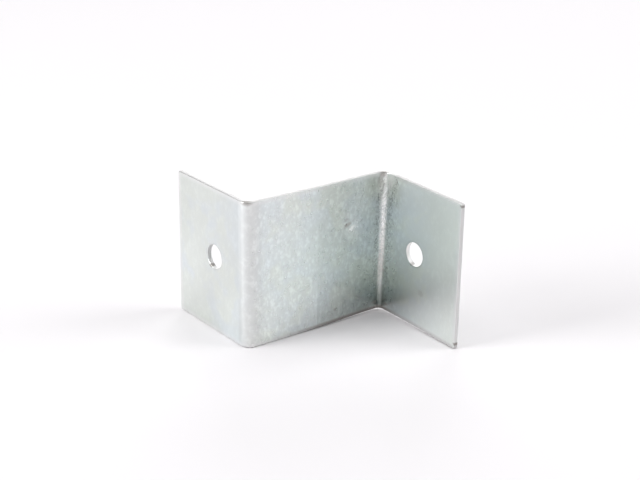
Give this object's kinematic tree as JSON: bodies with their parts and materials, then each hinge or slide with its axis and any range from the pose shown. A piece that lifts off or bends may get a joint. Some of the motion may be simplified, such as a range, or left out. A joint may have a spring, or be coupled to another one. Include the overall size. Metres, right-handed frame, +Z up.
{
  "type": "cranked connecting bracket",
  "caption": "Flat steel strip folded twice at right angles into a Z, with a screw hole in each flange, to join two members set a step apart.",
  "frame": {"origin": "middle of the footprint, on the surface that the bracket stands on", "axes": "+X across the step, along the web, from the rear flange to the front flange; +Y from the front flange's free end to the rear flange's; +Z up, along the strip's width"},
  "size_m": [0.0454, 0.0628, 0.0402],
  "materials": {
    "zinc_plate": "bright zinc plating, mottled"
  },
  "bodies": {
    "root": {"cranked_bracket": "zinc_plate"}
  },
  "joints": []
}
